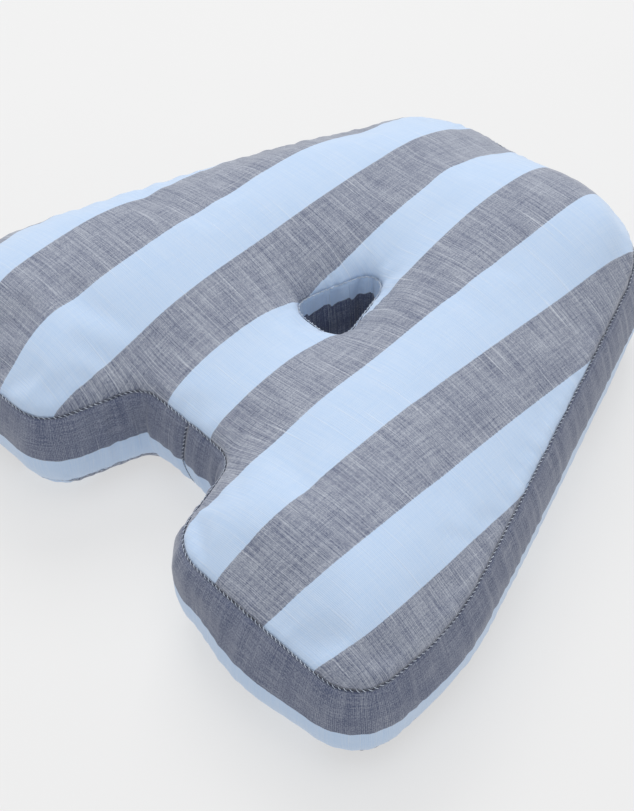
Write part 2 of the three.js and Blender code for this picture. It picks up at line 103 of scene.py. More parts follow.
class Recipe:
    """A material and its nodes."""

    def __init__(self, name, finish):
        self.material = bpy.data.materials.new(name)
        self.material.use_nodes = True
        self.tree = self.material.node_tree
        self.shader = self.tree.nodes["Principled BSDF"]
        for socket, amount in finish.items():
            self.shader.inputs[socket].default_value = amount

    def node(self, kind, settings=None, sockets=None, out=0):
        made = self.tree.nodes.new("ShaderNode" + kind)
        for name, setting in (settings or {}).items():
            if name == "stops":
                ramp = made.color_ramp
                while len(ramp.elements) < len(setting):
                    ramp.elements.new(0.5)
                for element, (place, colour) in zip(ramp.elements, setting):
                    element.position = place
                    element.color = (*colour, 1) if hasattr(colour, "__len__") else (colour,) * 3 + (1,)
            else:
                setattr(made, name, setting)
        for name, value in (sockets or {}).items():
            self.join(value, made.inputs[name])
        return Value(self, made.outputs[out])

    def join(self, value, socket):
        if isinstance(value, Value):
            self.tree.links.new(value.socket, socket)
        else:
            socket.default_value = value

    def noise(self, vector, scale, detail=2.0, rough=0.5):
        return self.node(
            "TexNoise",
            {"noise_dimensions": "3D"},
            {"Vector": vector, "Scale": scale, "Detail": detail, "Roughness": rough},
        )

    def stretch(self, vector, factors):
        return self.node(
            "VectorMath", {"operation": "MULTIPLY"}, {0: vector, 1: factors}
        )

    def span(self, value, low, high, to_low=0.0, to_high=1.0):
        return self.node(
            "MapRange",
            {"interpolation_type": "SMOOTHSTEP"},
            {0: value, 1: low, 2: high, 3: to_low, 4: to_high},
        )

    def blend(self, factor, a, b):
        made = self.tree.nodes.new("ShaderNodeMix")
        made.data_type = "RGBA"
        for name, value in ((0, factor), (6, a), (7, b)):
            if not isinstance(value, Value) and name > 0:
                value = (*value, 1)
            self.join(value, made.inputs[name])
        return Value(self, made.outputs[2])

    def bump(self, height, distance, strength=1.0, under=None):
        sockets = {"Height": height, "Distance": distance, "Strength": strength}
        if under is not None:
            sockets["Normal"] = under
        return self.node("Bump", {}, sockets)

    def finish(self, **values):
        for name, value in values.items():
            self.join(value, self.shader.inputs[name.replace("_", " ").title()])
        return self.material


floor_recipe = Recipe("pale_floor", {"Roughness": 0.9})
floor_place = floor_recipe.node("NewGeometry")
floor_grain = floor_recipe.noise(floor_place, 3.0)
floor_recipe.shader.inputs["Emission Strength"].default_value = 1.0
floor_recipe.finish(
    base_color=floor_recipe.blend(floor_grain, (0.298, 0.292, 0.285), (0.312, 0.306, 0.298)),
    emission_color=floor_recipe.blend(floor_grain, (0.532, 0.532, 0.532), (0.542, 0.542, 0.542)),
)
floor_mesh = bpy.data.meshes.new("floor")
floor_mesh.from_pydata([(-6, -6, 0), (6, -6, 0), (6, 6, 0), (-6, 6, 0)], [], [(0, 1, 2, 3)])
floor = bpy.data.objects.new("floor", floor_mesh)
floor_mesh.materials.append(floor_recipe.material)
bpy.context.collection.objects.link(floor)

world = bpy.data.worlds.new("studio")
bpy.context.scene.world = world
world.use_nodes = True
world.node_tree.nodes["Background"].inputs["Color"].default_value = (0.93, 0.96, 1.0, 1)
world.node_tree.nodes["Background"].inputs["Strength"].default_value = 0.62


def softbox(name, place, target, size, power):
    lamp = bpy.data.lights.new(name, "AREA")
    lamp.shape, lamp.size, lamp.size_y, lamp.energy = "RECTANGLE", size[0], size[1], power
    made = bpy.data.objects.new(name, lamp)
    made.location = place
    made.rotation_euler = (Vector(place) - Vector(target)).to_track_quat("Z", "Y").to_euler()
    bpy.context.collection.objects.link(made)


softbox("softbox_back", (-2.6, 2.4, 3.6), (0, 0, 0), (3.2, 2.6), 112)
softbox("softbox_top", (0.3, 0.3, 5.0), (0, 0, 0), (3.2, 3.2), 52)

# ---- Cutting the cover ------------------------------------------------------------------
# The cover is cut flat from striped cotton: two letter panels, an edge strip and a strip for
# the hole. Each panel is cut a little larger than the finished letter, so that the filling
# can dome it. The corners are in order with the cloth on the left, each with its radius.
letter_height = 0.368
foot_half, apex_half, flank_height = 0.204, 0.094, 0.074
notch_depth, notch_top_half, notch_foot_half = 0.064, 0.0395, 0.058
foot_outer_radius, foot_inner_radius, flank_radius = 0.026, 0.027, 0.150
apex_radius, notch_radius = 0.068, 0.013
hole_base, hole_sharp_height, hole_sharp_half, hole_radius = 0.164, 0.078, 0.023, 0.0095
stripe = 0.038
gusset_bulge, foot_bulge, hole_bulge = 0.007, 0.010, 0.002
cloth_step, seam_step, fine_step = 0.005, 0.0021, 0.0008
arc_points = 40


def letter_corners():
    right = [
        (notch_top_half, notch_depth, notch_radius),
        (notch_foot_half, 0, foot_inner_radius),
        (foot_half, 0, foot_outer_radius),
        (foot_half, flank_height, flank_radius),
        (apex_half, letter_height, apex_radius),
    ]
    left = [(-x, y, radius) for x, y, radius in reversed(right)]
    return [(x, y - letter_height / 2, radius) for x, y, radius in right + left]


def hole_corners():
    low = hole_base - letter_height / 2
    return [
        (-hole_sharp_half, low, hole_radius),
        (0, low + hole_sharp_height, hole_radius),
        (hole_sharp_half, low, hole_radius),
    ]


def rounded(corners, spacing):
    """The outline as evenly spaced points, their inward normals and their places along it."""
    fine = []
    for i, (x, y, radius) in enumerate(corners):
        before = np.subtract(corners[i][:2], corners[i - 1][:2])
        after = np.subtract(corners[(i + 1) % len(corners)][:2], corners[i][:2])
        before, after = before / np.linalg.norm(before), after / np.linalg.norm(after)
        inward = np.array((-before[1], before[0]))
        turn = math.atan2(before[0] * after[1] - before[1] * after[0], before @ after)
        side = math.copysign(1, turn)
        middle = (x, y) - before * radius * math.tan(abs(turn) / 2) + side * inward * radius
        for a in np.linspace(0, turn, arc_points):
            c, s = math.cos(a), math.sin(a)
            spoke = np.array((inward[0] * c - inward[1] * s, inward[0] * s + inward[1] * c))
            fine.append(middle - side * radius * spoke)
    # The run starts halfway along the edge that leads to the first corner.
    fine = np.array(fine)
    begin = fine[-1] + (fine[0] - fine[-1]) / 2
    loop = np.vstack([begin, fine, begin])
    steps = np.linalg.norm(np.diff(loop, axis=0), axis=1)
    along = np.concatenate([[0], np.cumsum(steps)])
    count = int(round(along[-1] / spacing))
    at = np.arange(count) * along[-1] / count
    points = np.stack([np.interp(at, along, loop[:, k]) for k in (0, 1)], 1)
    ahead, behind = (
        np.stack([np.interp((at + step) % along[-1], along, loop[:, k]) for k in (0, 1)], 1)
        for step in (1e-4, -1e-4)
    )
    way = ahead - behind
    way /= np.linalg.norm(way, axis=1)[:, None]
    return points, np.stack([-way[:, 1], way[:, 0]], 1), at


edge_cut, edge_in, edge_at = rounded(letter_corners(), cloth_step)
hole_cut, hole_in, hole_at = rounded(hole_corners(), cloth_step)
n_edge, n_hole = len(edge_cut), len(hole_cut)


def inside(points, loop):
    x, y = points[:, :1], points[:, 1:]
    ax, ay = loop[:, 0], loop[:, 1]
    bx, by = np.roll(ax, -1), np.roll(ay, -1)
    rise_of_side = np.where(by == ay, 1e-12, by - ay)
    crosses = ((ay > y) != (by > y)) & (x < (bx - ax) * (y - ay) / rise_of_side + ax)
    return crosses.sum(1) % 2 == 1


def nearest(points, loop):
    gaps = np.linalg.norm(points[:, None] - loop[None], axis=2)
    k = gaps.argmin(1)
    return gaps[np.arange(len(points)), k], k


fine_edge = rounded(letter_corners(), fine_step)[0]
fine_hole = rounded(hole_corners(), fine_step)[0]
low, high = edge_cut.min(0), edge_cut.max(0)
grid = np.stack(
    np.meshgrid(
        np.arange(-math.ceil(-low[0] / cloth_step), math.ceil(high[0] / cloth_step) + 1) * cloth_step,
        np.arange(low[1], high[1], cloth_step),
    ),
    2,
).reshape(-1, 2)
grid = grid[inside(grid, edge_cut) & ~inside(grid, hole_cut)]
to_edge, _ = nearest(grid, fine_edge)
to_hole, _ = nearest(grid, fine_hole)
clear_of_seam = seam_step + 0.0026
grid = grid[(to_edge > clear_of_seam) & (to_hole > clear_of_seam)]
second_edge = edge_cut + edge_in * seam_step
second_hole = hole_cut + hole_in * seam_step
flat = np.vstack([edge_cut, hole_cut, second_edge, second_hole, grid])
loops = []
start = 0
for count in (n_edge, n_hole, n_edge, n_hole):
    loops += [(start + i, start + (i + 1) % count) for i in range(count)]
    start += count
cut_points, _, cut_faces, *_ = delaunay_2d_cdt([Vector(p) for p in flat], loops, [], 0, 1e-7, False)
flat = np.array([tuple(p) for p in cut_points])
cut_faces = np.array([list(f) for f in cut_faces])
centres = flat[cut_faces].mean(1)
cut_faces = cut_faces[inside(centres, edge_cut) & ~inside(centres, hole_cut)]
n_flat = len(flat)
# Heights of the rows of points across the two strips, from the middle of the strip outwards.
middle_z = (top_seam_z + bottom_seam_z) / 2
half = (top_seam_z - bottom_seam_z) / 2
fold_height, zip_room = 0.0042, 0.0086
strip_steps = (0, fold_height, zip_room, 0.0125, 0.0163, 0.0201, 0.0238, half - seam_step, half)
rows = list(reversed(strip_steps)) + [-d for d in strip_steps[1:]]
n_rows = len(rows)
to_edge, _ = nearest(flat, fine_edge)
to_hole, _ = nearest(flat, fine_hole)


def dome(gap, run):
    return 1 - (1 - np.minimum(1, gap / run)) ** 2


# The top starts as a dome: lowest over the crossbar, fullest towards the apex's right corner,
# and steepest at the edge along the apex and the left leg.
slack_crown, top_run, hole_run, bottom_run = 0.0285, 0.053, 0.041, 0.028
apex_steeper, left_steeper, hole_lift = 0.025, 0.020, 0.006
crossbar = np.array((0, notch_depth / 2 + hole_base / 2 - letter_height / 2))
sag = 0.40 * np.exp(-(((flat - crossbar) / 0.05) ** 2).sum(1))
at_apex = np.clip((flat[:, 1] - 0.09) / 0.06, 0, 1) * np.clip((flat[:, 0] + 0.03) / 0.06, 0, 1)
apex_fuller = 0.28 * np.exp(-(((flat - (0.055, 0.150)) / (0.06, 0.05)) ** 2).sum(1))
apex_fuller -= 0.16 * np.exp(-(((flat - (-0.050, 0.145)) / (0.05, 0.05)) ** 2).sum(1))
at_left = np.clip((-flat[:, 0] - 0.05) / 0.05, 0, 1) * np.clip((0.13 - np.abs(flat[:, 1])) / 0.06, 0, 1)
fullness = 1 - sag + apex_fuller + 0.08 * at_left
edge_run = top_run - apex_steeper * at_apex - left_steeper * at_left * (1 - at_apex)
squareness = 1 - 0.35 * np.maximum(at_apex, 0.6 * at_left)
rise = dome(to_edge, edge_run) ** squareness * dome(to_hole, hole_run) * fullness
sink = np.sqrt(np.minimum(dome(to_edge, bottom_run), dome(to_hole, bottom_run)))
links = np.vstack([cut_faces[:, [0, 1]], cut_faces[:, [1, 2]], cut_faces[:, [2, 0]]])
links = np.vstack([links, links[:, ::-1]])
inner = (to_edge > 0.001) & (to_hole > 0.001)
dome_smoothing = 14
for _ in range(dome_smoothing):
    total, shares = np.zeros(n_flat), np.zeros(n_flat)
    np.add.at(total, links[:, 0], rise[links[:, 1]])
    np.add.at(shares, links[:, 0], 1)
    rise = np.where(inner, 0.5 * rise + 0.5 * total / np.maximum(shares, 1), rise)
top_height = top_seam_z + slack_crown * rise + hole_lift * np.exp(-to_hole / 0.018)
top_start = np.column_stack([flat, top_height])
bottom_start = np.column_stack([flat, bottom_seam_z * (1 - sink)])

zip_way = np.array((-(foot_half - apex_half), -(letter_height - flank_height)))
zip_way /= np.linalg.norm(zip_way)
zip_box = np.array(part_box("zip_tape_upper"))
zip_half = 0.115
from_zip = edge_cut - zip_box[:, :2].mean(0)
on_side = np.abs(from_zip @ (zip_way[1], -zip_way[0])) < 0.02
zip_columns = np.where((np.abs(from_zip @ zip_way) < zip_half) & on_side)[0]

# The strip stands out further across the front of the right foot, which is stuffed hardest.
foot_front = np.array(((notch_foot_half + foot_half) / 2, -letter_height / 2))
at_front = np.exp(-(((edge_cut - foot_front) / (0.050, 0.012)) ** 2).sum(1))[:, None]
walls_start = []
for d in rows[1:-1]:
    swell = math.cos(math.pi / 2 * max(0, abs(d) - zip_room) / (half - zip_room))
    foot_swell = foot_bulge * at_front * math.exp(-(((d + 0.012) / 0.015) ** 2))
    for cut, inward, bulge in (
        (edge_cut, edge_in, gusset_bulge * swell + foot_swell),
        (hole_cut, hole_in, hole_bulge * swell),
    ):
        walls_start.append(np.column_stack([cut - inward * bulge, np.full(len(cut), middle_z + d)]))
start_points = np.vstack([top_start, bottom_start, *walls_start])


def wall_ring(row, around):
    """The point numbers of one row of the edge strip (0) or of the hole's strip (1)."""
    count = (n_edge, n_hole)[around]
    first = (0, n_edge)[around]
    if row == 0:
        return np.arange(count) + first
    if row == n_rows - 1:
        return np.arange(count) + first + n_flat
    return np.arange(count) + 2 * n_flat + (row - 1) * (n_edge + n_hole) + first


faces = [tuple(f) for f in cut_faces] + [tuple(f[::-1] + n_flat) for f in cut_faces]
for around in (0, 1):
    for row in range(n_rows - 1):
        upper, lower = wall_ring(row, around), wall_ring(row + 1, around)
        for i in range(len(upper)):
            j = (i + 1) % len(upper)
            faces.append((lower[i], lower[j], upper[j], upper[i]))

# ---- Filling the cover ------------------------------------------------------------------
# Stuffing pushes the sewn cloth outwards. The underside is held flat on the floor and the
# zip's line straight; the seam, drawn up by its stitches, gathers the cloth beside it.
cushion_mesh = bpy.data.meshes.new("cushion_cloth")
cushion_mesh.from_pydata(start_points.tolist(), [], [[int(i) for i in f] for f in faces])
cushion_mesh.validate()
shaped = bmesh.new()
shaped.from_mesh(cushion_mesh)
shaped.verts.ensure_lookup_table()
triangles = [f for f in shaped.faces if len(f.verts) == 3]
bmesh.ops.join_triangles(
    shaped, faces=triangles, angle_face_threshold=0.1, angle_shape_threshold=0.35
)
bmesh.ops.recalc_face_normals(shaped, faces=shaped.faces)
shaped.to_mesh(cushion_mesh)
shaped.free()
cloth_object = bpy.data.objects.new("cushion_cloth", cushion_mesh)
bpy.context.collection.objects.link(cloth_object)

seam_hold = 0.3
hold = cloth_object.vertex_groups.new(name="hold")
under = np.where((to_edge > bottom_run) & (to_hole > bottom_run))[0] + n_flat
hold.add([int(i) for i in under], 1, "REPLACE")
for row, d in enumerate(rows):
    if abs(d) <= zip_room + 1e-6:
        hold.add([int(i) for i in wall_ring(row, 0)[zip_columns]], 1, "REPLACE")
drawn = cloth_object.vertex_groups.new(name="drawn")
for around in (0, 1):
    for row in (0, n_rows - 1):
        drawn.add([int(i) for i in wall_ring(row, around)], 1, "REPLACE")
        hold.add([int(i) for i in wall_ring(row, around)], seam_hold, "REPLACE")


def stuff(target, frames):
    """Runs the cloth simulation and gives the points at its last frame."""
    cloth = target.modifiers.new("stuffing", "CLOTH")
    settings = cloth.settings
    settings.quality = 6
    settings.mass = 0.3
    settings.tension_stiffness = 40
    settings.compression_stiffness = 20
    settings.shear_stiffness = 8
    settings.bending_stiffness = 0.4
    settings.tension_damping = settings.compression_damping = settings.shear_damping = 8
    settings.bending_damping = 0.5
    settings.air_damping = 2
    settings.use_pressure = True
    settings.uniform_pressure_force = 2.0
    settings.vertex_group_mass = "hold"
    settings.pin_stiffness = 50
    settings.vertex_group_shrink = "drawn"
    settings.shrink_max = 0.03
    settings.effector_weights.gravity = 0
    cloth.point_cache.frame_start = 1
    cloth.point_cache.frame_end = frames
    for step in range(1, frames + 1):
        bpy.context.scene.frame_set(step)
    made = target.evaluated_get(bpy.context.evaluated_depsgraph_get())
    points = np.zeros(len(made.data.vertices) * 3, np.float32)
    made.data.vertices.foreach_get("co", points)
    target.modifiers.remove(cloth)
    bpy.context.scene.frame_set(1)
    return points.reshape(-1, 3).astype(float)


stuffing_frames = 16
filled = stuff(cloth_object, stuffing_frames)
# The strips are cut along the thread and stay smoother than the simulated cloth.
reach, spread = np.arange(-10, 11), 3.6
window = np.exp(-((reach / spread) ** 2))
window /= window.sum()
for around, kept_detail in ((0, 0.1), (1, 0.6)):
    for row in range(1, n_rows):
        ring = wall_ring(row, around)
        moved = filled[ring] - start_points[ring]
        even = sum(share * np.roll(moved, step, axis=0) for step, share in zip(reach, window))
        filled[ring] = start_points[ring] + even + kept_detail * (moved - even)
# The underside follows its seams and flattens out away from them.
for around, cut in ((0, edge_cut), (1, hole_cut)):
    gap, k = nearest(flat, cut)
    ring = wall_ring(n_rows - 1, around)
    share = np.clip(1 - gap / bottom_run, 0, 1)[:, None] ** 2
    near = gap < bottom_run
    under_moved = (filled[ring] - start_points[ring])[k] * share
    filled[n_flat : 2 * n_flat][near] = (start_points[n_flat : 2 * n_flat] + under_moved)[near]
filled[:, 2] = np.maximum(filled[:, 2], 0)

# The seams pull the cloth in to a narrow groove, half as deep round the hole.
groove = 0.0015


def outward(points):
    """The outward normals of the closed cloth at the given points."""
    cushion_mesh.vertices.foreach_set("co", points.astype(np.float32).ravel())
    cushion_mesh.update()
    found = np.zeros(len(points) * 3, np.float32)
    cushion_mesh.vertex_normals.foreach_get("vector", found)
    return found.reshape(-1, 3).astype(float)


seam_normals = outward(filled)
for around, depth in ((0, groove), (1, groove / 2)):
    for row in (0, n_rows - 1):
        ring = wall_ring(row, around)
        filled[ring] -= seam_normals[ring] * depth
filled[:, 2] = np.maximum(filled[:, 2], 0)
cover_normals = outward(filled)
panel_faces = {"top": [], "bottom": []}
for polygon in cushion_mesh.polygons:
    corners = np.array(polygon.vertices)
    if corners.max() < n_flat:
        panel_faces["top"].append(corners)
    elif corners.min() >= n_flat and corners.max() < 2 * n_flat:
        panel_faces["bottom"].append(corners - n_flat)


def keep_modifiers(piece):
    """Replaces the piece's mesh by what its modifiers make of it."""
    made = bpy.data.meshes.new_from_object(piece.evaluated_get(bpy.context.evaluated_depsgraph_get()))
    piece.modifiers.clear()
    piece.data = made


def piece_from(name, points, faces, body="cushion"):
    mesh = bpy.data.meshes.new(name)
    mesh.from_pydata(np.asarray(points).tolist(), [], [[int(i) for i in f] for f in faces])
    piece = bpy.data.objects.new(name, mesh)
    bpy.context.collection.objects.link(piece)
    mesh.polygons.foreach_set("use_smooth", [True] * len(mesh.polygons))
    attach(piece, body)
    return piece


def sewn_cloth(name, points, faces, cut, wrinkle=None, levels=1, thickness=0.0005):
    """A cut piece of cloth: subdivided, puckered by wrinkle(cut) and given its thickness."""
    piece = piece_from(name, points, faces)
    pattern = piece_from("pattern", cut, faces)
    for shape in (piece, pattern):
        if levels:
            finer = shape.modifiers.new("finer", "SUBSURF")
            finer.levels = finer.render_levels = levels
            finer.boundary_smooth = "PRESERVE_CORNERS"
            keep_modifiers(shape)
    laid = np.zeros(len(pattern.data.vertices) * 3, np.float32)
    pattern.data.vertices.foreach_get("co", laid)
    bpy.data.objects.remove(pattern)
    piece.data.attributes.new("cut", "FLOAT_VECTOR", "POINT").data.foreach_set("vector", laid)
    if wrinkle is not None:
        mesh = piece.data
        count = len(mesh.vertices)
        places, normals = np.zeros(count * 3, np.float32), np.zeros(count * 3, np.float32)
        mesh.vertices.foreach_get("co", places)
        mesh.vertex_normals.foreach_get("vector", normals)
        lift = wrinkle(laid.reshape(-1, 3).astype(float))[:, None]
        places = places.reshape(-1, 3) + normals.reshape(-1, 3) * lift
        places[:, 2] = np.maximum(places[:, 2], 0)
        mesh.vertices.foreach_set("co", places.astype(np.float32).ravel())
        mesh.update()
    if thickness:
        thick = piece.modifiers.new("thickness", "SOLIDIFY")
        thick.thickness = thickness
        thick.offset = -1
        keep_modifiers(piece)
    return piece


most_waves = 36


def ripple(length, shortest, longest, seed):
    """A wavy line that closes on itself over the length, as a function of the way along it."""
    draw = np.random.default_rng(seed)
    waves = np.arange(math.ceil(length / longest), math.floor(length / shortest) + 1)
    waves = draw.choice(waves, min(len(waves), most_waves), replace=False)
    phases = draw.uniform(0, 2 * math.pi, len(waves))

    def height(at):
        swings = np.cos(2 * math.pi * np.outer(at, waves) / length + phases)
        return swings.sum(1) / math.sqrt(len(waves) / 2)

    return height


edge_length = edge_at[-1] + cloth_step
hole_length = hole_at[-1] + cloth_step

# ---- Striped cotton ---------------------------------------------------------------------
# Yarn-dyed cotton, woven in stripes of one width: light blue, and navy crossed with white
# thread, so that it looks heathered. Thick pale slubs run across both, along the weft.
light_blue, white_yarn, navy_yarn = (0.50, 0.64, 0.84), (0.80, 0.83, 0.88), (0.082, 0.10, 0.172)

pick_pitch, end_pitch = 0.00082, 0.00070


def striped_cloth(name, white_share, streaks=1.0):
    cloth = Recipe(
        name,
        {"Roughness": 0.88, "Specular IOR Level": 0.18, "Sheen Weight": 0.36, "Sheen Roughness": 0.45},
    )
    cut = cloth.node("Attribute", {"attribute_name": "cut"}, out=1)
    across = cloth.node("SeparateXYZ", {}, {0: cut})
    weft = cloth.noise(cloth.stretch(cut, (34, 1900, 1)), 1.0, 1.0)
    warp = cloth.noise(cloth.stretch(cut, (1500, 45, 1)), 1.0, 1.0)
    heather = cloth.noise(cloth.stretch(cut, (1100, 1500, 1)), 1.0, 2.0, 0.6)
    patches = cloth.noise(cloth.stretch(cut, (45, 110, 1)), 1.0, 3.0)
    slub = cloth.noise(cloth.stretch(cut, (26, 900, 1)), 1.0, 1.0, 0.4)
    slub = cloth.span(slub, 0.64, 0.78)
    slub_warp = cloth.span(cloth.noise(cloth.stretch(cut, (900, 26, 1)), 1.0, 1.0, 0.4), 0.66, 0.80)
    down = cloth.node("SeparateXYZ", {}, {0: cut}, out=1)
    picks = cloth.node("Math", {"operation": "SINE"}, {0: down * (2 * math.pi / pick_pitch)})
    ends = cloth.node("Math", {"operation": "SINE"}, {0: across * (2 * math.pi / end_pitch)})
    weave = picks + ends * 0.6
    fray = (weft - 0.5) * 0.0009
    wave = cloth.node("Math", {"operation": "COSINE"}, {0: (across + fray) * (math.pi / stripe)})
    is_light = cloth.span(wave, -0.02, 0.02)
    white = (weft - 0.5) * (0.60 * streaks) + (heather - 0.5) * 0.66 + (warp - 0.5) * 0.30
    white = white + (patches - 0.5) * 0.20
    white = white + weave * 0.055 + white_share + slub * (0.24 * streaks) + slub_warp * 0.10
    white = cloth.node("Clamp", {}, {0: white})
    heathered = cloth.blend(white, navy_yarn, white_yarn)
    paler = (weft - 0.5) * 0.42 + (warp - 0.5) * 0.22 + (patches - 0.5) * 0.12 + (heather - 0.5) * 0.22
    paler = paler + weave * 0.02 + slub * 0.22 + 0.14
    pale = cloth.blend(cloth.node("Clamp", {}, {0: paler}), light_blue, white_yarn)
    colour = cloth.blend(is_light, heathered, pale)
    height = weft * 0.5 + warp * 0.3 + heather * 0.3 + slub * 0.5 + weave * 0.10
    return cloth.finish(
        base_color=colour,
        roughness=cloth.span(heather, 0.3, 0.7, 0.82, 0.94),
        normal=cloth.bump(height, 0.00022, 0.6),
    )


striped_cotton = striped_cloth("striped_cotton", 0.28)
# The edge strips and zip facings use the same cloth with less white thread: painted shade, for the sides
# turned away from the lamps.
gusset_cotton = striped_cloth("gusset_cotton", 0.12, 0.45)
# The hole lining has even less white thread: painted shade down the hole.
lining_cotton_painted_shade = striped_cloth("lining_cotton_painted_shade", 0.04)

# ---- Top and bottom panels --------------------------------------------------------------
# The two letter panels, cut from the cloth with the stripes up the letter. The filling domes
# the top one; the bottom one lies flat. Both pucker a little where they meet a seam.
edge_tree, hole_tree = KDTree(len(fine_edge)), KDTree(len(fine_hole))
for tree, loop in ((edge_tree, fine_edge), (hole_tree, fine_hole)):
    for k, (x, y) in enumerate(loop):
        tree.insert((x, y, 0), k)
    tree.balance()
edge_pucker = ripple(edge_length, 0.007, 0.019, 11)
hole_pucker = ripple(hole_length, 0.006, 0.014, 12)
pucker_reach = 0.007


def panel_wrinkle(cut):
    """How far the cloth puckers up beside the nearest seams."""
    places = np.zeros((len(cut), 4))
    for k, (x, y, _) in enumerate(cut):
        for column, tree, count, length in (
            (0, edge_tree, len(fine_edge), edge_length),
            (2, hole_tree, len(fine_hole), hole_length),
        ):
            _, nearest_k, gap = tree.find((x, y, 0))
            places[k, column : column + 2] = gap, nearest_k / count * length
    lift = np.zeros(len(cut))
    for column, pucker, height in ((0, edge_pucker, 0.00030), (2, hole_pucker, 0.0006)):
        gap, along = places[:, column], places[:, column + 1]
        fade = (0.2 + gap / 0.003) * np.exp(-gap / pucker_reach * 1.6)
        lift += pucker(along) * height * fade
    return lift


# Over each full leg the cloth is drawn outwards, so the stripes bow away from the middle.
bow = 0.62 * np.sign(flat[:, 0]) * flat[:, 0] ** 2 * rise
top_cut = np.column_stack([flat[:, 0] - bow, flat[:, 1], np.full(n_flat, 1.7)])
bottom_cut = np.column_stack([flat, np.full(n_flat, 6.3)])
top_panel = sewn_cloth("top_panel_cloth", filled[:n_flat], panel_faces["top"], top_cut, panel_wrinkle)
bottom_panel = sewn_cloth(
    "bottom_panel_cloth", filled[n_flat : 2 * n_flat], panel_faces["bottom"], bottom_cut, panel_wrinkle
)
for piece, node in ((top_panel, "cover_top_panel"), (bottom_panel, "cover_bottom_panel")):
    piece.data.materials.append(striped_cotton)
    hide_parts(node)

# ---- Edge strips and zip facings --------------------------------------------------------
# The edge is a strip cut along the stripes, navy above light blue. It has a join in the notch
# and, down the left side, two folded facings that leave a gap for the zip between them.
walls = [
    np.stack([filled[wall_ring(row, around)] for row in range(n_rows)]) for around in (0, 1)
]
wall_normals = [
    np.stack([cover_normals[wall_ring(row, around)] for row in range(n_rows)]) for around in (0, 1)
]
row_heights = np.array(rows)
apex_end, foot_end = int(zip_columns.min()), int(zip_columns.max())
edge_gather = ripple(edge_length, 0.0075, 0.021, 21)
crease_steps = ripple(edge_length, 0.010, 0.030, 22)
notch_corners = [(side * notch_top_half, notch_depth - letter_height / 2) for side in (1, -1)]
notch_corner_at = [
    (int(np.linalg.norm(fine_edge - corner, axis=1).argmin()) / len(fine_edge)) * edge_length
    for corner in notch_corners
]


def wall_wrinkle(cut):
    height, along = cut[:, 0] - stripe / 2, cut[:, 1]
    from_seam = half - np.abs(height)
    near_seam = np.exp(-from_seam / 0.009) * (0.25 + from_seam / 0.004) * (0.3 + 0.7 * (height > 0))
    notch = sum(np.exp(-(((along - at) / 0.016) ** 2)) for at in notch_corner_at)
    middle = np.exp(-((along / 0.05) ** 2)) + np.exp(-(((along - edge_length) / 0.05) ** 2))
    lift = edge_gather(along) * (0.00030 * near_seam + 0.00008)
    lift += crease_steps(along) * (0.0009 * notch + 0.0005 * middle) * np.clip(from_seam / 0.006, 0, 1)
    for join in (0, edge_length, *zip_ends):
        lift -= 0.0011 * np.exp(-(((along - join) / 0.0022) ** 2))
    return lift


column_at = np.append(edge_at, edge_length)
zip_ends = (column_at[apex_end], column_at[foot_end])


def strip_faces(n_across, n_along):
    """Quads of a strip whose points are in rows, the upper row first."""
    return [
        ((r + 1) * n_along + c, (r + 1) * n_along + c + 1, r * n_along + c + 1, r * n_along + c)
        for r in range(n_across - 1)
        for c in range(n_along - 1)
    ]


def strip_cut(heights, places, offset):
    grid = np.zeros((len(heights), len(places), 3))
    grid[..., 0] = stripe / 2 + np.asarray(heights)[:, None]
    grid[..., 1] = np.asarray(places)[None]
    grid[..., 2] = offset
    return grid.reshape(-1, 3)


def wrapped(wall, columns):
    return wall[:, np.asarray(columns) % wall.shape[1]]


for name, node, first, last, step in (
    ("gusset_right_cloth", "gusset_strip_right", 0, apex_end, 0.0),
    ("gusset_left_cloth", "gusset_strip_left", foot_end, n_edge, 0.0013),
):
    columns = np.arange(first, last + 1)
    points = wrapped(walls[0], columns).reshape(-1, 3)
    cut = strip_cut(row_heights + step, column_at[columns], 3.1 + first)
    piece = sewn_cloth(name, points, strip_faces(n_rows, len(columns)), cut, wall_wrinkle)
    # The darker strip cloth is painted shade.
    piece.data.materials.append(gusset_cotton)
    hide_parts(node)

columns = np.arange(apex_end, foot_end + 1)
hem_depth, hem_width = 0.0012, 0.0040
for name, node, side in (
    ("zip_facing_upper_cloth", "zip_facing_upper", 1),
    ("zip_facing_lower_cloth", "zip_facing_lower", -1),
):
    kept = [r for r in range(n_rows) if side * rows[r] >= fold_height - 1e-6]
    if side < 0:
        kept = kept[::-1]
    heights = [rows[r] for r in kept]
    band = wrapped(walls[0], columns)[kept]
    fold = band[-1]
    inward = -wrapped(wall_normals[0], columns)[kept[-1]]
    inward[:, 2] = 0
    inward /= np.linalg.norm(inward, axis=1)[:, None]
    turned = fold + inward * hem_depth * 0.5 - np.array((0, 0, side * 0.0002))
    hem = fold + inward * hem_depth + np.array((0, 0, side * hem_width))
    points = np.concatenate([band, turned[None], (fold + inward * hem_depth)[None], hem[None]])
    heights += [heights[-1] - side * past for past in (hem_depth / 2, hem_depth, hem_depth + hem_width)]
    grid_faces = strip_faces(len(heights), len(columns))
    if side < 0:
        grid_faces = [f[::-1] for f in grid_faces]
    cut = strip_cut(heights, column_at[columns], 9.4 + side)
    piece = sewn_cloth(name, points.reshape(-1, 3), grid_faces, cut)
    # The darker facing cloth is painted shade.
    piece.data.materials.append(gusset_cotton)
    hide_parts(node)

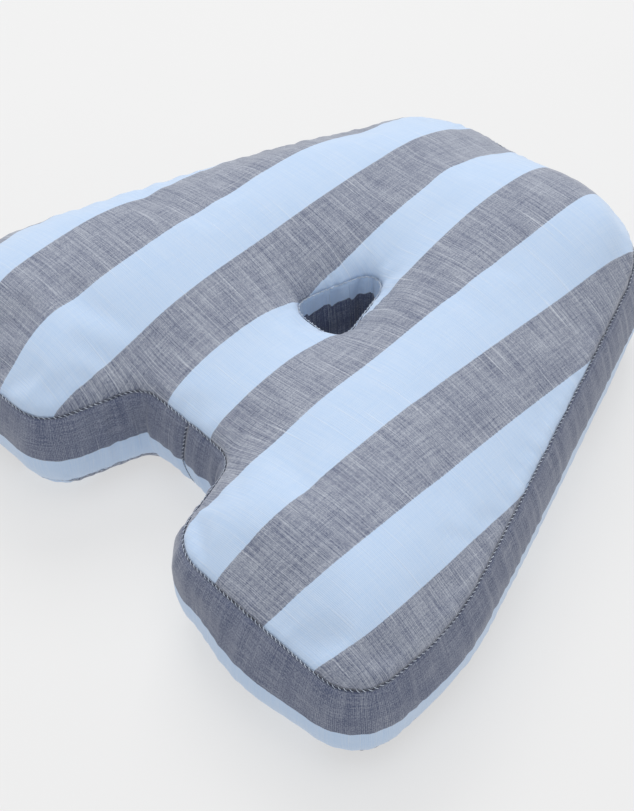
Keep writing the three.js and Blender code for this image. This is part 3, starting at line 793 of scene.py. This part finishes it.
# ---- Hole lining ------------------------------------------------------------------------
# A strip of the same cloth sewn round the hole, light blue at its upper edge and navy below; its material
# is darkened as painted shade down the hole.
# It is longer than the hole is round, so it is taken up in small uneven pleats.
light_band = 0.0080
pleat_draw = np.random.default_rng(31)
most_pleats, narrowest_pleat, widest_pleat = 16, 0.009, 0.019
pleats = np.cumsum(pleat_draw.uniform(narrowest_pleat, widest_pleat, most_pleats))
pleats = pleats[pleats < hole_length - 0.006]
pleat_starts = np.concatenate([[0], pleats])
pleat_lengths = np.diff(np.append(pleat_starts, hole_length))
hole_gather = ripple(hole_length, 0.008, 0.017, 32)
hole_columns = np.arange(n_hole + 1)
hole_column_at = np.append(hole_at, hole_length)


def pleat_share(along):
    """How far each place is through its pleat, from 0 to 1."""
    k = np.clip(np.searchsorted(pleat_starts, along, side="right") - 1, 0, len(pleat_starts) - 1)
    return (along - pleat_starts[k]) / pleat_lengths[k]


def lining_wrinkle(cut):
    along = cut[:, 1]
    depth = cut[:, 0] - (stripe / 2 - light_band)
    in_wall = np.clip(depth / 0.004, 0, 1) * np.clip((2 * half - depth) / 0.006, 0, 1)
    share = pleat_share(along)
    return in_wall * (0.0013 * share**2 - 0.0006 + 0.0005 * hole_gather(along))


finer_columns = np.linspace(0, hole_length, 4 * n_hole + 1)
lining_wall = np.zeros((n_rows, len(finer_columns), 3))
for r in range(n_rows):
    around = wrapped(walls[1], hole_columns)[r]
    for k in range(3):
        lining_wall[r, :, k] = np.interp(finer_columns, hole_column_at, around[:, k])
pleat_drop = 0.0044
drop = (pleat_share(finer_columns % hole_length) - 0.5) * pleat_drop
lining_cut = strip_cut(-row_heights, finer_columns, 5.5)
lining_depth = np.repeat(half - row_heights, len(finer_columns))
lining_cut[:, 0] = stripe / 2 - light_band + lining_depth + np.tile(drop, n_rows)
lining = sewn_cloth(
    "hole_lining_cloth",
    lining_wall.reshape(-1, 3),
    strip_faces(n_rows, len(finer_columns)),
    lining_cut,
    lining_wrinkle,
)
# The lining's darker cloth is painted shade down the hole.
lining.data.materials.append(lining_cotton_painted_shade)
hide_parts("hole_lining_strip")

# ---- Seam stitches ----------------------------------------------------------------------
# Spun thread in short slanting stitches over each seam: the four panel seams, the join in
# the notch, and the two ends of the zip's opening. A second thread lies along the seam under
# them. On the outer top seam and the three joins it is near black: a dark thread that also
# stands in as painted shade in the seam's groove.
thread_radius, stitch_pitch, stitch_half, stitch_lean = 0.00019, 0.0031, 0.00062, 0.30


def tubes(name, runs, ups, radius, sides=6):
    """Round thread along many runs of points of the same length, as one mesh."""
    runs, ups = np.asarray(runs, float), np.asarray(ups, float)
    way = np.gradient(runs, axis=1)
    way /= np.linalg.norm(way, axis=2)[..., None]
    side = np.cross(way, ups)
    side /= np.linalg.norm(side, axis=2)[..., None]
    up = np.cross(side, way)
    turn = np.arange(sides) * 2 * math.pi / sides
    ring = (
        runs[:, :, None]
        + radius * np.cos(turn)[None, None, :, None] * side[:, :, None]
        + radius * np.sin(turn)[None, None, :, None] * up[:, :, None]
    )
    n_runs, n_points = runs.shape[:2]
    faces = []
    for run in range(n_runs):
        base = run * n_points * sides
        for k in range(n_points - 1):
            for s in range(sides):
                a, b = base + k * sides + s, base + k * sides + (s + 1) % sides
                faces.append((a, b, b + sides, a + sides))
        faces.append([base + s for s in range(sides)][::-1])
        faces.append([base + (n_points - 1) * sides + s for s in range(sides)])
    return piece_from(name, ring.reshape(-1, 3), faces)


def evenly(points, normals, pitch, closed):
    """Points and normals at even steps along a line, with the way it runs at each."""
    if closed:
        points, normals = np.vstack([points, points[:1]]), np.vstack([normals, normals[:1]])
    along = np.concatenate([[0], np.cumsum(np.linalg.norm(np.diff(points, axis=0), axis=1))])
    count = max(2, int(round(along[-1] / pitch)))
    at = (np.arange(count) + 0.5) * along[-1] / count
    place = np.stack([np.interp(at, along, points[:, k]) for k in range(3)], 1)
    ahead, behind = (
        np.stack([np.interp(at + step, along, points[:, k]) for k in range(3)], 1)
        for step in (0.0008, -0.0008)
    )
    way = ahead - behind
    up = np.stack([np.interp(at, along, normals[:, k]) for k in range(3)], 1)
    return place, way / np.linalg.norm(way, axis=1)[:, None], up / np.linalg.norm(up, axis=1)[:, None]


def slanted_stitches(name, node, points, normals, lift, under_thread, closed=True, across=stitch_half):
    place, way, up = evenly(points, normals, stitch_pitch, closed)
    side = np.cross(way, up)
    draw = np.random.default_rng(5)
    wobble = draw.uniform(0.8, 1.2, len(place))[:, None]
    loops, line, ups = [], [], []
    for t in np.linspace(-1, 1, 7):
        arch = math.cos(t * math.pi / 2) - 0.45
        loops.append(
            place
            + way * (stitch_lean * stitch_pitch * t)
            + side * (across * t) * wobble
            + up * (lift + 0.00055 * arch * wobble)
        )
        line.append(place + way * (0.5 * stitch_pitch * t) + up * (lift - 0.00022))
        ups.append(up)
    runs = np.concatenate([np.stack(loops, 1), np.stack(line, 1)])
    piece = tubes(name, runs, np.concatenate([np.stack(ups, 1)] * 2), thread_radius)
    piece.data.materials.append(seam_thread)
    piece.data.materials.append(under_thread)
    half_faces = len(piece.data.polygons) // 2
    piece.data.polygons.foreach_set("material_index", [0] * half_faces + [1] * half_faces)
    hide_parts(node)
    return piece


def thread_of(name, darker, paler):
    thread = Recipe(name, {"Roughness": 0.7, "Sheen Weight": 0.2})
    place = thread.node("NewGeometry")
    twist = thread.noise(place, 2600.0, 1.0)
    tone = thread.span(twist * 0.6 + thread.noise(place, 90.0, 2.0) * 0.4, 0.35, 0.65)
    return thread.finish(
        base_color=thread.blend(tone, darker, paler),
        roughness=thread.span(twist, 0.3, 0.7, 0.6, 0.8),
        normal=thread.bump(twist, 0.0001, 0.5),
    )


seam_thread = thread_of("seam_thread", (0.42, 0.48, 0.58), (0.72, 0.78, 0.86))
# Near black: a dark under thread that is also painted shade in the seam groove.
bobbin_thread_and_seam_shade = thread_of("bobbin_thread_and_seam_shade", (0.020, 0.024, 0.045), (0.05, 0.06, 0.10))
seam_lift = groove * 0.55
for name, node, around, row in (
    ("stitches_top_outer", "seam_thread_top_outer", 0, 0),
    ("stitches_bottom_outer", "seam_thread_bottom_outer", 0, n_rows - 1),
    ("stitches_top_hole", "seam_thread_top_hole", 1, 0),
    ("stitches_bottom_hole", "seam_thread_bottom_hole", 1, n_rows - 1),
):
    ring = wall_ring(row, around)
    under_thread = bobbin_thread_and_seam_shade if node == "seam_thread_top_outer" else seam_thread
    lift = seam_lift - 0.0007 * (row > 0)
    slanted_stitches(name, node, filled[ring], cover_normals[ring], lift, under_thread)
for name, node, column in (
    ("stitches_gusset_join", "seam_thread_gusset_join", 0),
    ("stitches_zip_end_apex", "seam_thread_zip_end_apex", apex_end),
    ("stitches_zip_end_foot", "seam_thread_zip_end_foot", foot_end),
):
    line, line_normals = walls[0][:, column], wall_normals[0][:, column]
    slanted_stitches(name, node, line[1:-1], line_normals[1:-1], -0.0003, bobbin_thread_and_seam_shade, False, 0.0007)

# ---- Zip --------------------------------------------------------------------------------
# A nylon coil zip behind the facings: two woven tapes, two coils that mesh, metal stops, a
# slider and its pull. Two rows of topstitching hold the facings to the tapes.
zip_away = np.array((zip_way[1], -zip_way[0]))
zip_along = np.array((*zip_way, 0))
zip_out = np.array((*zip_away, 0)) * (1 if zip_away[0] < 0 else -1)
tape_boxes = [np.array(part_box(node)) for node in ("zip_tape_upper", "zip_tape_lower")]
tape_middle = np.mean([box[:, :2].mean(0) for box in tape_boxes], 0)
tape_depth, tape_inner, tape_outer, tape_reach = 0.00155, 0.0006, 0.012, 0.110
zip_middle = np.array((*tape_middle, middle_z)) + zip_out * tape_depth


def at_zip(along, up, out):
    """Places given along the zip, up from its middle and out from the edge strip's face."""
    along, up, out = (a[..., None] for a in np.broadcast_arrays(along, up, out))
    return zip_middle + along * zip_along + up * np.array((0, 0, 1.0)) + out * zip_out


tape = Recipe("zip_tape", {"Roughness": 0.8, "Sheen Weight": 0.15})
tape_place = tape.node("Attribute", {"attribute_name": "cut"}, out=1)
tape_ribs = tape.noise(tape.stretch(tape_place, (900, 2200, 1)), 1.0, 1.0)
tape_lines = tape.noise(tape.stretch(tape_place, (2600, 60, 1)), 1.0, 1.0)
zip_tape = tape.finish(
    base_color=tape.blend(tape_ribs * 0.6 + tape_lines * 0.4, (0.025, 0.034, 0.06), (0.07, 0.09, 0.14)),
    roughness=tape.span(tape_ribs, 0.3, 0.7, 0.7, 0.9),
    normal=tape.bump(tape_ribs + tape_lines, 0.00015, 0.6),
)
nylon = Recipe("zip_nylon", {"Roughness": 0.42, "Coat Weight": 0.1})
nylon_place = nylon.node("NewGeometry")
nylon_streak = nylon.noise(nylon_place, 700.0, 2.0)
zip_nylon = nylon.finish(
    base_color=nylon.blend(nylon_streak, (0.030, 0.040, 0.070), (0.065, 0.080, 0.125)),
    roughness=nylon.span(nylon_streak, 0.3, 0.7, 0.34, 0.52),
)
metal = Recipe("zip_metal", {"Metallic": 1.0, "Roughness": 0.32})
metal_place = metal.node("NewGeometry")
metal_brush = metal.noise(metal.stretch(metal_place, (900, 900, 2600)), 1.0, 2.0)
metal_spots = metal.noise(metal_place, 160.0, 3.0)
zip_metal = metal.finish(
    base_color=metal.blend(metal_spots, (0.44, 0.45, 0.47), (0.60, 0.61, 0.63)),
    roughness=metal.span(metal_brush * 0.5 + metal_spots * 0.5, 0.3, 0.7, 0.24, 0.44),
    normal=metal.bump(metal_brush, 0.00004, 0.4),
)
coil_pitch, coil_reach, coil_wire = 0.0013, 0.100, 0.00027
coil_height, coil_depth = 0.00120, 0.00062
topstitch_from_middle = 0.007
for node, side, phase in (("upper", 1, 0.0), ("lower", -1, 0.5)):
    across = np.linspace(tape_inner, tape_outer, 9)
    along = np.linspace(-tape_reach, tape_reach, 89)
    up, way = np.meshgrid(across[::-1] * side, along, indexing="ij")
    ribbing = 0.00006 * np.cos(up / 0.0009) + 0.00005 * np.sin(way / 0.011)
    points = at_zip(way, up, -tape_depth + 0.0002 + ribbing).reshape(-1, 3)
    faces = strip_faces(len(across), len(along))
    if side < 0:
        faces = [f[::-1] for f in faces]
    cut = np.stack([up, way, np.full_like(up, 2.0 + side)], -1).reshape(-1, 3)
    piece = sewn_cloth(f"zip_tape_{node}_weave", points, faces, cut, None, 0, 0.0004)
    piece.data.materials.append(zip_tape)
    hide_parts(f"zip_tape_{node}")
    turns = int(2 * coil_reach / coil_pitch)
    t = np.arange(turns * 10 + 1) / 10
    helix = at_zip(
        -coil_reach + (t + phase) * coil_pitch,
        side * (0.00115 + coil_height * np.cos(t * 2 * math.pi)),
        -0.0002 + coil_depth * np.sin(t * 2 * math.pi),
    )
    coil_ups = np.broadcast_to(zip_along, helix[None].shape)
    piece = tubes(f"zip_coil_{node}_turns", helix[None], coil_ups, coil_wire, 5)
    piece.data.materials.append(zip_nylon)
    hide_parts(f"zip_coil_{node}")
    stitch_count = int(2 * zip_half / stitch_pitch)
    starts = -zip_half + 0.001 + np.arange(stitch_count) * stitch_pitch
    runs = []
    for share in np.linspace(0, 1, 6):
        arch = 0.00022 + 0.0003 * (math.sin(math.pi * share) - 0.5)
        runs.append(at_zip(starts + stitch_pitch * 0.86 * share, side * topstitch_from_middle, arch))
    runs = np.stack(runs, 1)
    piece = tubes(f"topstitches_{node}", runs, np.broadcast_to(zip_out, runs.shape), thread_radius)
    piece.data.materials.append(seam_thread)
    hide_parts(f"topstitch_thread_{node}")
for node in (
    "zip_top_stop_upper",
    "zip_top_stop_lower",
    "zip_bottom_stop",
    "zip_slider",
    "zip_pull",
):
    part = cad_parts[node]
    part.data.materials.clear()
    part.data.materials.append(zip_metal)

# ---- Care label -------------------------------------------------------------------------
# A blank piece of white satin ribbon, sewn flat to the edge strip past the zip's foot end.
label_box = np.array(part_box("care_label"))
label_middle = (label_box.mean(0) - zip_middle) @ zip_along
label_length, label_half = 0.028, 0.010
label_rows, label_columns = 13, 19
satin = Recipe("label_satin", {"Roughness": 0.38, "Sheen Weight": 0.2})
satin_place = satin.node("Attribute", {"attribute_name": "cut"}, out=1)
satin_float = satin.noise(satin.stretch(satin_place, (3000, 120, 1)), 1.0, 1.0)
label_satin = satin.finish(
    base_color=satin.blend(satin_float, (0.78, 0.78, 0.75), (0.88, 0.88, 0.86)),
    roughness=satin.span(satin_float, 0.3, 0.7, 0.3, 0.5),
    normal=satin.bump(satin_float, 0.00008, 0.5),
)


def on_edge_strip(along_places, heights, lift):
    """Places on the edge strip, given along the zip's line and up from the middle, and raised."""
    zip_places = (walls[0][n_rows // 2] - zip_middle) @ zip_along
    columns = np.arange(apex_end, foot_end + 10)
    order = row_heights[::-1]
    out = np.zeros((len(heights), len(along_places), 3))
    for i, height in enumerate(heights):
        line, facing = (
            np.array([[np.interp(height, order, grid[0][::-1, c, k]) for k in range(3)] for c in columns])
            for grid in (walls, wall_normals)
        )
        raised = line + lift * facing
        for k in range(3):
            out[i, :, k] = np.interp(along_places, zip_places[columns], raised[:, k])
    return out


label_up = np.linspace(label_half, -label_half, label_rows)
label_along = label_middle + np.linspace(-label_length / 2, label_length / 2, label_columns)
label_points = on_edge_strip(label_along, label_up, 0.0008)
curl = 0.0004 * (1 - np.cos((label_up / label_half) * math.pi)) / 2
label_points += curl[:, None, None] * zip_out
label_cut = np.stack(np.broadcast_arrays(label_up[:, None], label_along[None], 0.0), -1)
label = sewn_cloth(
    "label_ribbon",
    label_points.reshape(-1, 3),
    strip_faces(label_rows, label_columns),
    label_cut.reshape(-1, 3),
    thickness=0.0004,
)
label.data.materials.append(label_satin)
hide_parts("care_label")

# ---- Inner pad --------------------------------------------------------------------------
# Inside the cover is a pad of its own: polyester fibre in a casing of undyed cotton, made to
# the same pattern, so that the cover can be taken off by the zip and washed.
casing_gap, filling_gap = 0.0026, 0.0046
casing = Recipe("casing_cloth", {"Roughness": 0.9, "Sheen Weight": 0.1})
casing_place = casing.node("NewGeometry")
casing_weave = casing.noise(casing_place, 900.0, 2.0)
casing_cloth = casing.finish(
    base_color=casing.blend(casing_weave, (0.72, 0.70, 0.64), (0.84, 0.83, 0.78)),
    roughness=casing.span(casing_weave, 0.3, 0.7, 0.84, 0.95),
    normal=casing.bump(casing_weave, 0.0002, 0.5),
)
wad = Recipe("fibre_wad", {"Roughness": 0.95, "Sheen Weight": 0.4})
wad_place = wad.node("NewGeometry")
wad_tufts = wad.noise(wad_place, 120.0, 6.0, 0.7)
fibre_wad = wad.finish(
    base_color=wad.blend(wad_tufts, (0.82, 0.82, 0.80), (0.93, 0.93, 0.92)),
    roughness=wad.span(wad_tufts, 0.3, 0.7, 0.9, 1.0),
    normal=wad.bump(wad_tufts, 0.002, 0.8),
)
pad_points = filled - cover_normals * casing_gap
pad_points[:, 2] = np.maximum(pad_points[:, 2], casing_gap)
pad_walls = [
    np.stack([pad_points[wall_ring(row, around)] for row in range(n_rows)]) for around in (0, 1)
]
edge_ring, hole_ring = np.arange(n_edge + 1), np.arange(n_hole + 1)
for name, points, faces, cut in (
    ("casing_top_cloth", pad_points[:n_flat], panel_faces["top"], top_cut),
    ("casing_bottom_cloth", pad_points[n_flat : 2 * n_flat], panel_faces["bottom"], bottom_cut),
    (
        "casing_wall_cloth",
        wrapped(pad_walls[0], edge_ring).reshape(-1, 3),
        strip_faces(n_rows, n_edge + 1),
        strip_cut(row_heights, column_at, 0.0),
    ),
    (
        "casing_hole_wall_cloth",
        wrapped(pad_walls[1], hole_ring).reshape(-1, 3),
        strip_faces(n_rows, n_hole + 1),
        strip_cut(row_heights, hole_column_at, 0.0),
    ),
):
    piece = sewn_cloth(name, points, faces, cut, None, 0, 0.0004)
    piece.data.materials.append(casing_cloth)
    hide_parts(name.replace("casing", "pad_casing").removesuffix("_cloth"))
wad_points = filled - cover_normals * filling_gap
wad_points[:, 2] = np.maximum(wad_points[:, 2], filling_gap)
filling = piece_from("fibre_wad", wad_points, [polygon.vertices for polygon in cushion_mesh.polygons])
filling.data.materials.append(fibre_wad)
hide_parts("fibre_filling")
bpy.data.objects.remove(cloth_object)
